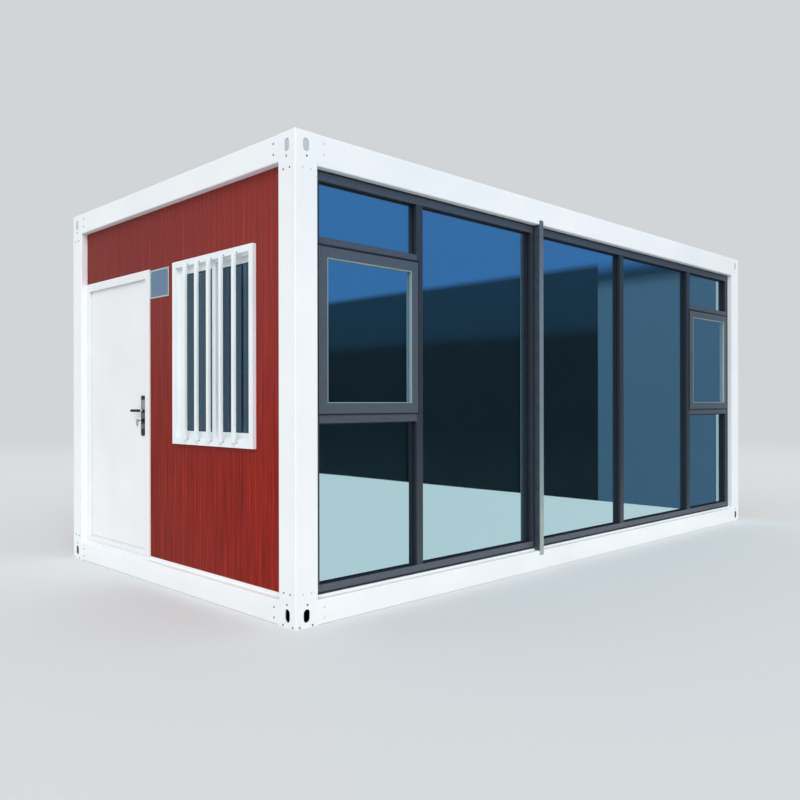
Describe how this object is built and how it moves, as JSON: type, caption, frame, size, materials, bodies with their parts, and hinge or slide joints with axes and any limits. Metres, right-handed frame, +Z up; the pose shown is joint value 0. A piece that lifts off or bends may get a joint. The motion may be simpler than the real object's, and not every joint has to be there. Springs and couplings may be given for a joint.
{
  "type": "prefabricated house",
  "caption": "Flat-roofed prefabricated house on a white steel frame, with red insulated walls, a glazed aluminium front, a hinged door with a lever handle and a sliding window.",
  "frame": {"origin": "on the ground under the middle of the house", "axes": "+X along the length, away from the door end; the glazed front faces -Y; +Z up"},
  "size_m": [5.95, 3.005, 2.8],
  "materials": {
    "white_steel": "white powder coat on folded sheet steel",
    "red_panel": "dark red coated steel facing with fine upright ribs",
    "grey_aluminium": "dark grey coated aluminium profile",
    "reflective_glass": "blue reflective coated glass",
    "window_pane": "plain float glass",
    "white_plastic": "white plastic window profile",
    "door_paint": "white painted steel facing",
    "black_metal": "black coated zinc alloy",
    "galvanised": "spangled zinc coated steel",
    "floor": "grey vinyl on fibre cement board",
    "ceiling": "white coated steel ceiling sheet",
    "roof": "light grey coated profiled sheet"
  },
  "bodies": {
    "house": {"base_corner_block_front_left": "white_steel", "base_corner_block_front_right": "white_steel", "base_corner_block_rear_left": "white_steel", "base_corner_block_rear_right": "white_steel", "base_end_beams": "white_steel", "base_side_beams": "white_steel", "ceiling_board": "ceiling", "corner_columns": "white_steel", "door_head": "door_paint", "door_hinge_jamb": "door_paint", "door_lock_jamb": "door_paint", "door_sill": "door_paint", "fixed_glass": "reflective_glass", "floor_board": "floor", "floor_joists": "galvanised", "glazing_head_rail": "grey_aluminium", "glazing_jambs": "grey_aluminium", "glazing_mullions": "grey_aluminium", "glazing_sill_rail": "grey_aluminium", "glazing_transoms": "grey_aluminium", "hinge_jamb_halves": "galvanised", "joint_cover_strip": "galvanised", "left_wall_beside_door": "red_panel", "left_wall_front_corner": "red_panel", "left_wall_over_door": "red_panel", "left_wall_over_window": "red_panel", "left_wall_under_window": "red_panel", "rear_wall_panels": "red_panel", "right_wall_panels": "red_panel", "roof_corner_blocks": "white_steel", "roof_end_beams": "white_steel", "roof_purlins": "galvanised", "roof_sheet": "roof", "roof_side_beams": "white_steel", "vent_glass": "reflective_glass", "vent_sash_left": "grey_aluminium", "vent_sash_right": "grey_aluminium", "window_frame": "white_plastic", "window_glass": "window_pane", "window_inner_sash": "white_plastic", "window_outer_sash": "white_plastic"},
    "door": {"door_leaf": "door_paint", "hinge_leaf_halves": "galvanised", "lock_plates": "black_metal"},
    "lever": {"lever_handle": "black_metal"}
  },
  "joints": [
    {"name": "door_swing", "type": "hinge", "parent": "house", "child": "door", "pos_m": [-2.861, 1.2915, 1.19], "axis": [0, 0, 1], "range_deg": [0, 90]},
    {"name": "lever_turn", "type": "hinge", "parent": "door", "child": "lever", "pos_m": [-2.8925, 0.401, 1.213], "axis": [-1, 0, 0], "range_deg": [0, 45], "stiffness_Nm_per_rad": 1, "springref_deg": -17.19}
  ]
}
